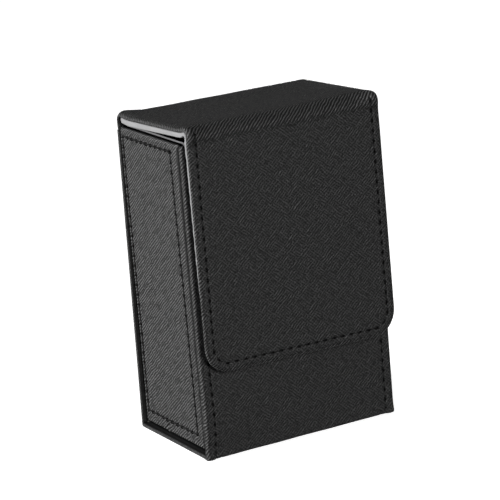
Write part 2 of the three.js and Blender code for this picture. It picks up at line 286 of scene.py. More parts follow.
def face_profile(start, seam, plain, depth):
    """Insets across the face: close together at the seam, if there is one."""
    if seam is None:
        steps = np.linspace(start, plain, 4)[1:]
    else:
        steps = np.append(np.arange(start + GROOVE_STEP, seam + 1.5, GROOVE_STEP), plain)
    return [(inset, depth) for inset in steps]


def outline_patches(half, low, high, radius, inset, side_fractions, end_fractions, closed):
    """The sheet's rim at each inset, as patches of (a, b): its sides, ends and round corners."""
    inset = np.asarray(inset, float)
    bend = np.maximum(radius - inset, 0)
    pull = np.maximum(radius, inset)
    bottom = low + pull if closed[0] else low + 0 * pull
    top = high - pull if closed[1] else high + 0 * pull
    along = bottom + (top - bottom) * side_fractions[:, None]
    across = (pull - half) + 2 * (half - pull) * end_fractions[:, None]
    patches = []
    for sign in (-1, 1):
        patches.append((sign * (half - inset) + 0 * along, along))
    turn = np.linspace(0, math.pi / 2, 13)[:, None]
    for is_closed, edge, sense in ((closed[0], low, -1), (closed[1], high, 1)):
        if is_closed:
            patches.append((across, edge - sense * inset + 0 * across))
            for sign in (-1, 1):
                corner = (sign * (half - pull), edge - sense * pull)
                patches.append((corner[0] + sign * bend * np.cos(turn),
                                corner[1] + sense * bend * np.sin(turn)))
    return patches


def cap_patch(half, low, high, radius, inset, side_fractions, end_fractions, closed):
    """The flat middle that closes the sheet inside the rim at this inset, as one patch of (a, b)."""
    pull = max(radius, inset)
    bottom = low + (pull if closed[0] else 0)
    top = high - (pull if closed[1] else 0)
    rows = bottom + (top - bottom) * side_fractions
    columns = (pull - half) + 2 * (half - pull) * end_fractions
    b, a = np.meshgrid(rows, columns, indexing="ij")
    return a, b


def grid_faces(rows, columns, first):
    """The faces of a grid of points, numbered from `first`."""
    index = np.arange(rows * columns).reshape(rows, columns) + first
    return np.stack([index[:-1, :-1], index[1:, :-1], index[1:, 1:], index[:-1, 1:]], -1).reshape(-1, 4)


def sheet_arrays(half, low, high, radius, profile, place, side_step, end_step, closed, caps, dents, hidden):
    """Points, faces and sheet coordinates of a sheet with a turned or rounded rim.

    The third sheet coordinate is 1 along the rim, painted lighter there as rubbed wear and painted highlight,
    0 on the face, and -1 deeper than `hidden` and in the deepest dents, painted near-black shade.
    """
    inset, depth = np.array(profile).T
    lengths = np.hypot(np.diff(inset), np.diff(depth))
    flat = inset[-1] - np.concatenate([np.cumsum(lengths[::-1])[::-1], [0]])
    sides = np.linspace(0, 1, max(2, int(round((high - low) / side_step)) + 1))
    ends = np.linspace(0, 1, max(2, int(round(2 * half / end_step)) + 1))
    made = outline_patches(half, low, high, radius, inset, sides, ends, closed)
    sheet = outline_patches(half, low, high, radius, flat, sides, ends, closed)
    patches = [(a, b, depth + 0 * a, u, v, flat + 0 * a) for (a, b), (u, v) in zip(made, sheet)]
    for capped, k in zip(caps, (0, -1)):
        if capped:
            a, b = cap_patch(half, low, high, radius, inset[k], sides, ends, closed)
            patches.append((a, b, depth[k] + 0 * a, a, b, flat[-1] + 0 * a))
    points, faces, coordinates, count = [], [], [], 0
    for a, b, d, u, v, q in patches:
        dent = (dents(a, b) if dents else 0) * (1 - smooth(0.1, 1.4, d - depth[-1]))
        points.append(place(a, b, d + dent).reshape(-1, 3))
        # Lighter along the rim: rubbed wear and painted highlight.
        rim_and_shade = np.clip(1.3 - np.abs(q + 0.2) / 1.3, 0, 1)
        # Painted shade: near black deeper than `hidden`, in the seams' holes and where the panel's edge falls
        # away.
        sheltered = np.maximum(smooth(hidden - 0.3, hidden + 0.2, d), smooth(0.12, 0.46, dent))
        rim_and_shade = rim_and_shade - (1 + rim_and_shade) * sheltered
        coordinates.append(np.stack([u, v, rim_and_shade], -1).reshape(-1, 3))
        faces.append(grid_faces(*a.shape, count))
        count += a.size
    return np.concatenate(points), np.concatenate(faces), np.concatenate(coordinates)


def welded(points, faces, coordinates):
    """Merges points that coincide, and drops the faces that this closes up."""
    _, first, merged = np.unique(np.round(points * 1e4).astype(np.int64), axis=0,
                                 return_index=True, return_inverse=True)
    faces = merged.reshape(-1)[faces]
    kept = []
    for face in faces.tolist():
        corners = [c for i, c in enumerate(face) if c != face[i - 1]]
        if len(set(corners)) == len(corners) and len(corners) > 2:
            kept.append(corners)
    return points[first], kept, coordinates[first]


def make_object(name, points, faces, coordinates, material, outward=None, on_cover=False):
    mesh = bpy.data.meshes.new(name)
    mesh.from_pydata((points * MM).tolist(), [], faces)
    coordinates = np.asarray(coordinates, np.float32)
    attribute = mesh.attributes.new("sheet", "FLOAT_VECTOR", "POINT")
    attribute.data.foreach_set("vector", coordinates.ravel())
    if on_cover:
        bend = mesh.attributes.new("bend", "FLOAT", "POINT")
        bend.data.foreach_set("value", cover_bend(coordinates[:, 1]).astype(np.float32))
    mesh.materials.append(material)
    turn_faces(mesh, outward)
    mesh.polygons.foreach_set("use_smooth", [True] * len(mesh.polygons))
    obj = bpy.data.objects.new(name, mesh)
    bpy.context.scene.collection.objects.link(obj)
    return obj


def turn_faces(mesh, outward):
    """Makes the faces agree, and turns them over if the one nearest to `outward` faces inwards."""
    work = bmesh.new()
    work.from_mesh(mesh)
    bmesh.ops.recalc_face_normals(work, faces=work.faces)
    if outward is not None:
        target, heading = Vector(outward[0]) * MM, Vector(outward[1])
        nearest = min(work.faces, key=lambda face: (face.calc_center_median() - target).length_squared)
        if nearest.normal.dot(heading) < 0:
            bmesh.ops.reverse_faces(work, faces=work.faces)
    work.to_mesh(mesh)
    work.free()


def build_sheet(name, material, place, half, low, high, profile, radius=0.0, side_step=PLAIN_STEP,
                end_step=PLAIN_STEP, closed=(True, True), caps=(False, True), dents=None, outward=None,
                on_cover=False, hidden=100.0):
    """A sheet from -half to half across and from low to high, with `profile` round its rim.

    `closed` says which of its low and high ends have a rim, and `caps` which of the profile's two ends
    are filled in. `dents` presses its face in. `outward` is a point and the way the face nearest to it
    looks. Deeper than `hidden` it lies inside a joint, and its colour is painted near-black shade.
    """
    arrays = sheet_arrays(half, low, high, radius, profile, place, side_step, end_step, closed, caps, dents,
                          hidden)
    return make_object(name, *welded(*arrays), material, outward, on_cover)


# ---- Seams ----

class Seam:
    """Stitches spaced evenly along a line on the sheet, given by its points."""

    def __init__(self, line, pitch=STITCH_PITCH):
        line = np.array(line, float)
        steps = np.linalg.norm(np.diff(line, axis=0), axis=1)
        length = np.concatenate([[0], np.cumsum(steps)])
        count = max(1, int(round(length[-1] / pitch)))
        self.pitch = length[-1] / count
        self.middles = (np.arange(count) + 0.5) * length[-1] / count
        self.centre = self.on_line(line, length, self.middles)
        ahead = self.on_line(line, length, self.middles + 0.4)
        behind = self.on_line(line, length, self.middles - 0.4)
        heading = ahead - behind
        self.heading = heading / np.linalg.norm(heading, axis=1)[:, None]

    @staticmethod
    def on_line(line, length, distance):
        return np.stack([np.interp(distance, length, line[:, k]) for k in (0, 1)], -1)

    def dent(self, a, b):
        """How far the thread pulls the leather in: a shallow channel, deeper at each hole."""
        flat = np.stack([a, b], -1).reshape(-1, 2)
        pull = np.zeros(len(flat))
        for centre, heading in zip(self.centre, self.heading):
            away = flat - centre
            near = np.abs(away).max(1) < 3
            along = away[near] @ heading
            across = away[near] @ np.array([-heading[1], heading[0]])
            groove = (across / GROOVE_WIDTH) ** 2
            channel = CHANNEL_DEPTH * np.exp(-groove) / (1 + (along / 1.8) ** 8)
            from_hole = np.abs(np.abs(along) - self.pitch / 2)
            hole = HOLE_DEPTH * np.exp(-groove - (from_hole / 0.75) ** 4)
            pull[near] = np.maximum(pull[near], channel + hole)
        return pull.reshape(a.shape)


def seam_dents(seams):
    """The deepest of several seams' dents."""
    return lambda a, b: np.maximum.reduce([seam.dent(a, b) for seam in seams])


def tube_faces(rings, sides, first):
    """The faces of one closed tube, with a flat end at each end."""
    index = np.arange(rings * sides).reshape(rings, sides) + first
    closed = np.concatenate([index, index[:, :1]], 1)
    walls = np.stack([closed[:-1, :-1], closed[1:, :-1], closed[1:, 1:], closed[:-1, 1:]], -1)
    return walls.reshape(-1, 4).tolist() + [index[0].tolist(), index[-1][::-1].tolist()]


def build_stitches(name, seam, place, material, sunk=0.3, stout=1.0):
    """One length of thread from hole to hole for each stitch, `sunk` below the leather at its middle.

    `stout` scales the thread's thickness. The third sheet coordinate goes down to -1 where the thread
    enters its holes, where the thread is painted near-black shade.
    """
    rings, sides = 17, 8
    t = np.linspace(-1, 1, rings)
    turn = np.linspace(0, 2 * math.pi, sides, endpoint=False)
    draw = np.random.default_rng(len(seam.centre))
    points, faces, coordinates = [], [], []
    for centre, heading in zip(seam.centre, seam.heading):
        twist, length = draw.normal(0, 0.03), seam.pitch * draw.uniform(0.97, 1.04)
        heading = heading + twist * np.array([-heading[1], heading[0]])
        line = centre + np.outer(t * length / 2, heading)
        sink = np.where(np.abs(t) > 0.6, 0.16, sunk) + draw.uniform(-0.03, 0.03)
        middle = place(line[:, 0], line[:, 1], sink)
        up = place(line[:, 0], line[:, 1], sink - 0.1) - middle
        up /= np.linalg.norm(up, axis=1)[:, None]
        ahead = np.gradient(middle, axis=0)
        ahead /= np.linalg.norm(ahead, axis=1)[:, None]
        side = np.cross(ahead, up)
        knot = KNOT_RADIUS * draw.uniform(0.85, 1.15)
        bunched = smooth(0.66, 0.84, np.abs(t))
        thick = THREAD_RADIUS + (knot - THREAD_RADIUS) * bunched
        radius = np.where(np.abs(t) < 1, thick, THREAD_TIP) * stout
        ring = np.cos(turn)[None, :, None] * side[:, None] + np.sin(turn)[None, :, None] * up[:, None]
        first = sum(len(p) for p in points)
        points.append((middle[:, None] + ring * radius[:, None, None]).reshape(-1, 3))
        around = np.broadcast_to(turn * THREAD_RADIUS, (rings, sides))
        along = np.broadcast_to((t * length / 2)[:, None], (rings, sides))
        # Painted shade where the thread bunches into its holes.
        hole_shade = np.broadcast_to(-bunched[:, None], (rings, sides))
        coordinates.append(np.stack([along, around, hole_shade], -1).reshape(-1, 3))
        faces += tube_faces(rings, sides, first)
    return make_object(name, np.concatenate(points), faces, np.concatenate(coordinates), material)


def u_line(half, low, high, radius):
    """Down the left side, round both bottom corners and back up the right side."""
    turn = np.linspace(0, math.pi / 2, 12)
    left = [(-half, low), (-half, high - radius)]
    corner = [(-half + radius * (1 - math.cos(t)), high - radius + radius * math.sin(t)) for t in turn]
    mirrored = [(-a, b) for a, b in reversed(left + corner)]
    return left + corner + mirrored


# ---- Materials ----

class Graph:
    """A material's nodes, made in short calls."""

    def __init__(self, name):
        self.material = bpy.data.materials.new(name)
        self.material.use_nodes = True
        self.tree = self.material.node_tree
        self.shader = self.tree.nodes["Principled BSDF"]

    def add(self, kind, inputs=None, **settings):
        node = self.tree.nodes.new(kind)
        for key, value in settings.items():
            setattr(node, key, value)
        for key, value in (inputs or {}).items():
            self.feed(node, key, value)
        return node

    def feed(self, node, key, value):
        if isinstance(value, bpy.types.NodeSocket):
            self.tree.links.new(value, node.inputs[key])
        else:
            node.inputs[key].default_value = value

    def shade(self, key, value):
        self.feed(self.shader, key, value)

    def math(self, operation, a, b=0.0):
        node = self.add("ShaderNodeMath", {0: a, 1: b}, operation=operation)
        return node.outputs[0]

    def sheet(self):
        """(u and v in millimetres as a vector, the rim, lighter as rubbed wear and painted highlight, and how
        far it is hidden in a joint or hole, painted as shade).
        """
        read = self.add("ShaderNodeAttribute", attribute_name="sheet")
        split = self.add("ShaderNodeSeparateXYZ", {0: read.outputs["Vector"]})
        flat = self.add("ShaderNodeCombineXYZ", {0: split.outputs[0], 1: split.outputs[1]})
        rim_and_shade = self.math("MAXIMUM", split.outputs[2], 0.0)
        hidden = self.math("MAXIMUM", self.math("MULTIPLY", split.outputs[2], -1.0), 0.0)
        return flat.outputs[0], rim_and_shade, hidden

    def painted_shade(self, colour, amount):
        """The colour with painted shade: nearly black where `amount` is 1."""
        black = (0.0004, 0.0004, 0.0004, 1)
        node = self.add("ShaderNodeMix", {0: amount, 6: colour, 7: black}, data_type="RGBA")
        return node.outputs[2]

    def noise(self, vector, scale, detail=2.0, roughness=0.5):
        node = self.add("ShaderNodeTexNoise",
                        {"Vector": vector, "Scale": scale, "Detail": detail, "Roughness": roughness})
        return node.outputs["Fac"]

    def scaled(self, vector, x, y, angle=0.0):
        node = self.add("ShaderNodeMapping",
                        {"Vector": vector, "Rotation": (0, 0, angle), "Scale": (x, y, 1)})
        return node.outputs[0]

    def spread(self, value, low, high, out_low, out_high):
        node = self.add("ShaderNodeMapRange",
                        {"Value": value, 1: low, 2: high, 3: out_low, 4: out_high})
        return node.outputs[0]

    def blend_colour(self, factor, first, second):
        node = self.add("ShaderNodeMix", {0: factor, 6: (*first, 1), 7: (*second, 1)}, data_type="RGBA")
        return node.outputs[2]

    def bump(self, height, depth_mm):
        node = self.add("ShaderNodeBump", {"Height": height, "Distance": depth_mm * MM, "Strength": 1.0})
        self.shade("Normal", node.outputs[0])


def crossed_ridges(graph, sheet, stretch, lead, angle_deg, streak, evenness, pitch=0.89):
    """Pressed grain: two crossing sets of broken diagonal ridges. `lead` is the second set's share.

    `evenness` runs from 0, ridges in scattered short dashes, to 1, unbroken ridges all over. Stretched
    leather keeps only the first set.
    """
    drift = graph.add("ShaderNodeTexNoise", {"Vector": sheet, "Scale": 0.3, "Detail": 2.0})
    centred = graph.add("ShaderNodeVectorMath", {0: drift.outputs["Color"], 1: (0.5, 0.5, 0.5)},
                        operation="SUBTRACT")
    shift = graph.add("ShaderNodeVectorMath", {0: centred.outputs[0], "Scale": 1.1}, operation="SCALE")
    loose = graph.add("ShaderNodeVectorMath", {0: sheet, 1: shift.outputs[0]}, operation="ADD").outputs[0]
    patches = graph.noise(sheet, 0.2, 2.0)
    ridges = []
    for sign, share in ((1, 1.0), (-1, lead)):
        favoured = graph.spread(patches, 0.5 - 0.12 * sign, 0.5 + 0.12 * sign,
                                0.4 + 0.6 * evenness, 1.0)
        turned = graph.scaled(loose, 1, 1, sign * math.radians(angle_deg))
        wave = graph.add("ShaderNodeTexWave", {"Vector": turned, "Scale": 0.314 / pitch, "Distortion": 0.5,
                                               "Detail": 1.0}, bands_direction="Y")
        dashes = graph.noise(graph.scaled(turned, streak, 0.9), 1.0, 1.0)
        broken = graph.math("MULTIPLY", graph.spread(dashes, 0.37, 0.6, 0.2 + 0.5 * evenness, 1.0), favoured)
        if sign > 0:
            kept = graph.math("MULTIPLY", stretch, graph.spread(dashes, 0.35, 0.6, 0.55, 1))
            whole = graph.math("MAXIMUM", broken, kept)
        else:
            whole = graph.math("MULTIPLY", broken, graph.spread(stretch, 0, 1, share, 0.1))
        ridges.append(graph.math("MULTIPLY", graph.spread(wave.outputs["Fac"], 0.32, 0.8, 0, 1), whole))
    return graph.math("MAXIMUM", *ridges)


def leather_material(name, lead, grain_depth, crest, angle_deg, streak, evenness, contrast, rim):
    """Black leather, its grain painted lighter on the ridges and darker in the valleys as painted highlight
    and shade. `crest` is the ridges' tone and `rim` how much lighter they are along the rim, as rubbed wear
    and painted highlight.
    """
    graph = Graph(name)
    sheet, rim_and_shade, hidden = graph.sheet()
    bend = graph.add("ShaderNodeAttribute", attribute_name="bend").outputs["Fac"]
    stretch = graph.math("MAXIMUM", bend, rim_and_shade)
    ridges = crossed_ridges(graph, sheet, stretch, lead, angle_deg, streak, evenness)
    pores = graph.noise(sheet, 1.7, 3.0, 0.6)
    speckle = graph.spread(pores, 0.3, 0.7, -0.22, 0.22)
    # The grain's tone is painted light and shade: lighter ridges, darker valleys, with more contrast where
    # the leather is stretched or bent.
    tone = graph.math("ADD", graph.math("MULTIPLY", ridges, 0.95), speckle)
    middle = 0.42
    gain = graph.spread(stretch, 0, 1, contrast, contrast + 1.7)
    tone = graph.math("ADD", middle, graph.math("MULTIPLY", graph.math("SUBTRACT", tone, middle), gain))
    base = graph.blend_colour(tone, [0.001] * 3, [crest] * 3)
    # Lighter along the rim: rubbed wear and painted highlight.
    base = graph.add("ShaderNodeVectorMath", {0: base, "Scale": graph.spread(rim_and_shade, 0, 1, 1.0, rim)},
                     operation="SCALE").outputs[0]
    # Painted shade: near black in joints and holes.
    graph.shade("Base Color", graph.painted_shade(base, hidden))
    matt = graph.spread(pores, 0.3, 0.7, -0.04, 0.05)
    gloss = graph.math("ADD", graph.spread(ridges, 0, 1, 0.62, 0.38), matt)
    sheltered = graph.math("MULTIPLY", hidden, 0.12)
    graph.shade("Roughness", graph.math("SUBTRACT", gloss, sheltered))
    graph.shade("Specular IOR Level", 0.3)
    relief = graph.math("ADD", ridges, graph.math("MULTIPLY", pores, 0.5))
    raised = graph.math("MULTIPLY", relief, graph.spread(stretch, 0, 1, 1.0, 1.6))
    graph.bump(graph.math("MULTIPLY", raised, graph.spread(hidden, 0, 0.7, 1, 0)), grain_depth)
    return graph.material


def hem_shade_material():
    """The leather's raw back, painted near black and quite matt as the shade at the bottom of the joint."""
    graph = Graph("hem_painted_shade")
    sheet = graph.sheet()[0]
    fibres = graph.noise(graph.scaled(sheet, 1, 2.5), 3.0, 3.0)
    graph.shade("Base Color", graph.blend_colour(fibres, [0.0003] * 3, [0.0012] * 3))
    graph.shade("Roughness", 1.0)
    graph.shade("Specular IOR Level", 0.0)
    graph.bump(fibres, 0.08)
    return graph.material


def lining_material(name, colour):
    """Soft microfibre: a fine nap that lies in slow patches."""
    graph = Graph(name)
    sheet = graph.sheet()[0]
    nap = graph.noise(graph.scaled(sheet, 1.0, 1.7), 4.2, 4.0, 0.65)
    patches = graph.noise(sheet, 0.12, 3.0)
    tone = graph.math("ADD", graph.math("MULTIPLY", nap, 0.6), graph.math("MULTIPLY", patches, 0.4))
    dark, light = [tuple(c * k for c in colour) for k in (0.72, 1.25)]
    mottled = graph.blend_colour(graph.spread(tone, 0.3, 0.7, 0, 1), dark, light)
    graph.shade("Base Color", mottled)
    graph.shade("Roughness", graph.spread(nap, 0.3, 0.7, 0.9, 1.0))
    graph.shade("Specular IOR Level", 0.15)
    graph.shade("Sheen Weight", 0.25)
    graph.shade("Sheen Roughness", 0.5)
    graph.bump(graph.noise(sheet, 3.4, 5.0, 0.7), 0.16)
    return graph.material


def thread_material():
    """Two-ply black thread, its strands wound round each other."""
    graph = Graph("black_thread")
    sheet, _, hidden = graph.sheet()
    wound = graph.scaled(sheet, 1, 1, math.radians(38))
    strands = graph.add("ShaderNodeTexWave", {"Vector": wound, "Scale": 0.62, "Distortion": 0.4})
    fibres = graph.noise(graph.scaled(wound, 6, 1.2), 2.0, 3.0)
    twisted = graph.blend_colour(strands.outputs["Fac"], [0.003] * 3, [0.014] * 3)
    # Painted shade: near black where the thread enters its holes.
    graph.shade("Base Color", graph.painted_shade(twisted, hidden))
    graph.shade("Roughness", graph.spread(fibres, 0.3, 0.7, 0.62, 0.85))
    graph.shade("Specular IOR Level", 0.08)
    height = graph.math("ADD", strands.outputs["Fac"], graph.math("MULTIPLY", fibres, 0.4))
    graph.bump(height, 0.06)
    return graph.material


def object_graph(name):
    """A graph for a CAD node, with its object coordinates in millimetres."""
    graph = Graph(name)
    place = graph.add("ShaderNodeTexCoord").outputs["Object"]
    scaled = graph.add("ShaderNodeVectorMath", {0: place, "Scale": 1000.0}, operation="SCALE")
    return graph, scaled.outputs[0]


def board_material():
    """Grey pressed board, with flecks and short fibres."""
    graph, place = object_graph("grey_board")
    drawn = graph.add("ShaderNodeMapping", {"Vector": place, "Scale": (0.6, 2.4, 0.9)})
    fibres = graph.noise(drawn.outputs[0], 1.6, 5.0, 0.7)
    flecks = graph.noise(place, 2.6, 2.0)
    tone = graph.math("ADD", graph.math("MULTIPLY", fibres, 0.7), graph.math("MULTIPLY", flecks, 0.3))
    grey = graph.blend_colour(graph.spread(tone, 0.3, 0.7, 0, 1), (0.19, 0.175, 0.155), (0.36, 0.335, 0.30))
    graph.shade("Base Color", grey)
    graph.shade("Roughness", graph.spread(fibres, 0.3, 0.7, 0.8, 0.97))
    graph.bump(tone, 0.08)
    return graph.material


def steel_material():
    """Nickel-plated magnet: a fine turned finish with faint scuffs."""
    graph, place = object_graph("magnet_steel")
    drawn = graph.add("ShaderNodeMapping", {"Vector": place, "Scale": (0.3, 1, 9)})
    lines = graph.noise(drawn.outputs[0], 1.4, 4.0, 0.6)
    scuffs = graph.noise(place, 0.5, 4.0)
    graph.shade("Base Color", graph.blend_colour(scuffs, (0.50, 0.49, 0.47), (0.68, 0.67, 0.65)))
    graph.shade("Metallic", 1.0)
    graph.shade("Roughness", graph.spread(lines, 0.3, 0.7, 0.22, 0.42))
    graph.bump(lines, 0.01)
    return graph.material


# Two copies of one black leather. The side panels' copy, on the side that faces the main lamp, has lighter
# ridges and far stronger painted grain light and shade than the cover's.
COVER_LEATHER = leather_material("black_leather", lead=0.85, grain_depth=0.3, crest=0.066, angle_deg=41,
                                 streak=0.75, evenness=0.0, contrast=0.9, rim=1.25)
LIT_SIDE_LEATHER = leather_material("black_leather_side_lit", lead=0.4, grain_depth=0.3, crest=0.080, angle_deg=38,
                                streak=0.25, evenness=0.6, contrast=2.6, rim=1.5)
LINING = lining_material("grey_lining", (0.205, 0.205, 0.208))
# The same grey lining, painted darker as shade, for the inside of the box and the hinge.
SHADED_LINING = lining_material("grey_lining_shaded", (0.10, 0.10, 0.103))
THREAD = thread_material()
HEM_SHADE = hem_shade_material()
BOARD = board_material()
STEEL = steel_material()


# ---- The cover's leather ----

def front_seams():
    top, foot = 1.0, COVER.before(FRONT_FOOT, 2.0)
    x = HALF_WIDTH - WALL_SEAM
    return {"left": Seam([(-x, top), (-x, foot)]), "right": Seam([(x, top), (x, foot)])}


def back_seams():
    foot, top = COVER.after(BACK_FOOT, 2.0), BACK_SEAM_END - 0.6
    x = HALF_WIDTH - WALL_SEAM
    return {"left": Seam([(-x, foot), (-x, top)]), "right": Seam([(x, foot), (x, top)])}


def flap_seam():
    start = arc_middle(FOLD_CORNER) + 1.0
    radius = FLAP_CORNER - FLAP_SEAM
    return Seam(u_line(HALF_WIDTH - FLAP_SEAM, start, COVER_END - FLAP_SEAM, radius))


def wall_profile():
    """The box's turned edge: thinner than the wall, which leaves a dark joint beside the side panel."""
    tucked = [(3.2, WALL + 0.05), (1.35, WALL + 0.05)]
    rim = edge_profile(0, WALL_EDGE, 0.6, 0.35, 0.85, reach=0.9)
    return tucked + rim + face_profile(0.9, WALL_SEAM, 6.0, 0.0)


def lid_profile():
    """The turned edge of the lid and the flap, rounded well back on its outside."""
    rim = edge_profile(0, LID, 1.15, 0.45, 0.9, reach=2.1)
    return rim + face_profile(2.1, FLAP_SEAM, FLAP_CORNER, 0.0)


def build_box_leather():
    seams = {f"front_stitches_{k}": v for k, v in front_seams().items()}
    seams.update({f"back_stitches_{k}": v for k, v in back_seams().items()})
    # Deeper than `hidden`, the turned edge's inside is painted near-black shade, as are the seams' holes.
    leather = build_sheet("cover_leather", COVER_LEATHER, cover_point, HALF_WIDTH, 0.0, BACK_SEAM_END,
                          wall_profile(), radius=1.2, side_step=SEAM_STEP, closed=(True, False),
                          dents=seam_dents(list(seams.values())), outward=((0, -22, 50), (0, -1, 0)),
                          on_cover=True, hidden=WALL_EDGE - 0.15)
    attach(leather, "box")
    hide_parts("box_leather")
    for name, seam in seams.items():
        stitches = build_stitches(name, seam, cover_point, THREAD)
        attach(stitches, "box")
        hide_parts(name.replace("stitches", "thread"))


def build_hinge_leather():
    # Deeper than `hidden`, the turned edge's back is painted as shade.
    leather = build_sheet("hinge_leather", COVER_LEATHER, cover_point, HALF_WIDTH, BACK_SEAM_END, LID_SEAM,
                          lid_profile(), side_step=SEAM_STEP, closed=(False, False),
                          outward=((0, 23, 106), (0, 1, 0)), on_cover=True, hidden=LID)
    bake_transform(leather)
    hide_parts("lid_leather")


def flap_leather_point(x, s, depth):
    """The flap's turned edge is thinner than the lid's."""
    on_flap = smooth(COVER.arc_start[FOLD_CORNER], COVER.arc_end[FOLD_CORNER] + 8, s)
    return cover_point(x, s, depth * np.where(depth > 0.3, 1 - (1 - FLAP_EDGE / LID) * on_flap, 1))


def build_flap_leather():
    seam = flap_seam()
    # Deeper than `hidden`, the turned edge's back is painted as shade.
    leather = build_sheet("lid_flap_leather", COVER_LEATHER, flap_leather_point, HALF_WIDTH, LID_SEAM,
                          COVER_END, lid_profile(), radius=FLAP_CORNER, side_step=SEAM_STEP,
                          end_step=SEAM_STEP, closed=(False, True), dents=seam_dents([seam]),
                          outward=((0, -28, 70), (0, -1, 0)), on_cover=True, hidden=LID)
    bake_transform(leather)
    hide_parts("lid_leather", "flap_leather")
    stitches = build_stitches("flap_stitches", seam, cover_point, THREAD)
    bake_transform(stitches)
    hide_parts("flap_thread")


# ---- Linings ----

def slab_profile(near, far, edge, plain=4.0):
    """Round the rim of a slab of lining, from one face to the other."""
    rounded = edge_profile(near, far, edge, edge, 0.6)
    return [(plain, far)] + rounded + [(plain, near)]


def lid_lining_point(x, s, depth):
    """The lid's lining thins down the flap, and its edge is a little uneven."""
    rim = smooth(HALF_WIDTH - 2.4, HALF_WIDTH - 1.0, np.abs(x))
    turned = smooth(COVER.arc_start[FOLD_CORNER], COVER.arc_end[FOLD_CORNER] + 8, s)
    down = np.clip((s - COVER.arc_end[FOLD_CORNER]) / (COVER_END - COVER.arc_end[FOLD_CORNER]), 0, 1)
    near = LINING_FACE + rim * turned * (FLAP_EDGE + 0.05 - LINING_FACE)
    to_fold = smooth(COVER.arc_end[HINGE_CORNER], COVER.arc_start[FOLD_CORNER], s)
    full = LINING_BACK - LINING_FACE - 0.3 * to_fold
    thick_inside = full + (LINING_FOOT - LINING_FACE - full) * down
    thick_rim = full + (LINING_RIM_FOOT - full) * down ** 1.3
    thick = thick_inside + rim * (thick_rim - thick_inside)
    share = (depth - LINING_FACE) / (LINING_BACK - LINING_FACE)
    point = cover_point(x, s, near + share * thick)
    fuzz = 0.09 * ripple(s, depth * 0.5, 11, 2.6) + 0.06 * ripple(s, depth, 12, 0.9)
    drawn_in = 0.9 * smooth(0.55, 1.0, down)
    point[..., 0] += np.sign(x) * rim * (fuzz - drawn_in)
    return point


def build_lid_lining():
    start = COVER.after(HINGE_CORNER, 3.0)
    lining = build_sheet("lid_flap_lining", LINING, lid_lining_point, HALF_WIDTH - 0.35, start,
                         COVER_END - 0.3, slab_profile(LINING_FACE, LINING_BACK, 0.45, FLAP_CORNER),
                         radius=FLAP_CORNER - 0.3, side_step=0.7, closed=(False, True), caps=(True, True))
    close_end(lining)
    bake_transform(lining)
    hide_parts("lid_lining", "flap_lining")


def close_end(obj):
    """Closes the open end of a slab."""
    work = bmesh.new()
    work.from_mesh(obj.data)
    edges = [edge for edge in work.edges if edge.is_boundary]
    bmesh.ops.holes_fill(work, edges=edges, sides=0)
    bmesh.ops.recalc_face_normals(work, faces=work.faces)
    work.to_mesh(obj.data)
    work.free()


def build_hinge_lining():
    """The thin cloth that runs from under the back lining, over the hinge, to under the lid's lining."""
    low, high = COVER.before(HINGE_CORNER, 7.0), COVER.after(HINGE_CORNER, 6.5)
    board_end, board_start = COVER.before(HINGE_CORNER, 5.0), COVER.after(HINGE_CORNER, 2.9)

    def place(x, s, depth):
        """Under the back board, close to the leather round the bend, and under the lid's board."""
        below = 2.05 - 1.3 * smooth(board_end - 1, board_end + 1.2, s)
        below = below + 1.03 * smooth(board_start - 1.4, board_start, s)
        return cover_point(x, s, below + depth)

    profile = slab_profile(-0.06, 0.06, 0.05, 2.0)
    # The hinge's cloth is painted darker, as shade.
    strip = build_sheet("hinge_lining", SHADED_LINING, place, HALF_WIDTH - 1.5, low, high, profile,
                        side_step=0.5, caps=(True, True))
    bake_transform(strip)


def place_base_lining(a, b, depth):
    return np.stack([a, b, BOX_LOW[2] + WALL + GLUE + depth + 0.03 * ripple(a, b, 21)], -1)


def place_back_lining(a, b, depth):
    return np.stack([a, BACK_Y - WALL - GLUE - depth + 0.03 * ripple(a, b, 22), b], -1)


def place_front_lining(a, b, depth):
    return np.stack([a, front_face(b) + WALL + GLUE + depth, b], -1)


def place_side_lining(sign, face):
    def place(a, b, depth):
        front = front_face(b) + WALL + 0.25
        back = BACK_Y - WALL - 0.25
        y = (front + back) / 2 + a * (back - front) / (2 * SIDE_LINING_HALF)
        return np.stack([sign * (face - depth + 0.03 * ripple(a, b, 23)), y, b + 0 * a], -1)
    return place


def build_wall_lining(name, replaced, place, half, low, high):
    profile = slab_profile(0, WALL_LINING, 0.28)
    # The box's linings are painted darker than the lid's, as shade.
    lining = build_sheet(name, SHADED_LINING, place, half, low, high, profile, radius=0.8, caps=(True, True))
    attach(lining, "box")
    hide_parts(replaced)


def build_wall_linings():
    """Front, back, base and both sides, each a thin slab with soft edges."""
    places = {"front": place_front_lining, "back": place_back_lining, "base": place_base_lining}
    for name, place in places.items():
        low, high = cad_box(f"{name}_lining")
        axis = 1 if name == "base" else 2
        build_wall_lining(f"lining_{name}", f"{name}_lining", place, high[0], low[axis], high[axis])
    for side, sign in (("left", -1), ("right", 1)):
        low, high = cad_box(f"side_lining_{side}")
        face = max(abs(low[0]), abs(high[0]))
        build_wall_lining(f"lining_{side}", f"side_lining_{side}", place_side_lining(sign, face),
                          SIDE_LINING_HALF, low[2], high[2])


# ---- Side panels ----

def panel_pinch(y, b):
    """A small pinch near a panel's foot: a crease pressed in between two low ridges."""
    across = (y - 4.6) * 0.8 + (b - 5.2) * 0.6
    crease = 0.65 * hump(across, 0, 0.6) - 0.7 * hump(across, -1.2, 0.7) - 0.5 * hump(across, 1.2, 0.7)
    return crease * hump(b, 5.0, 2.8) * hump(y, 5.2, 3.4)


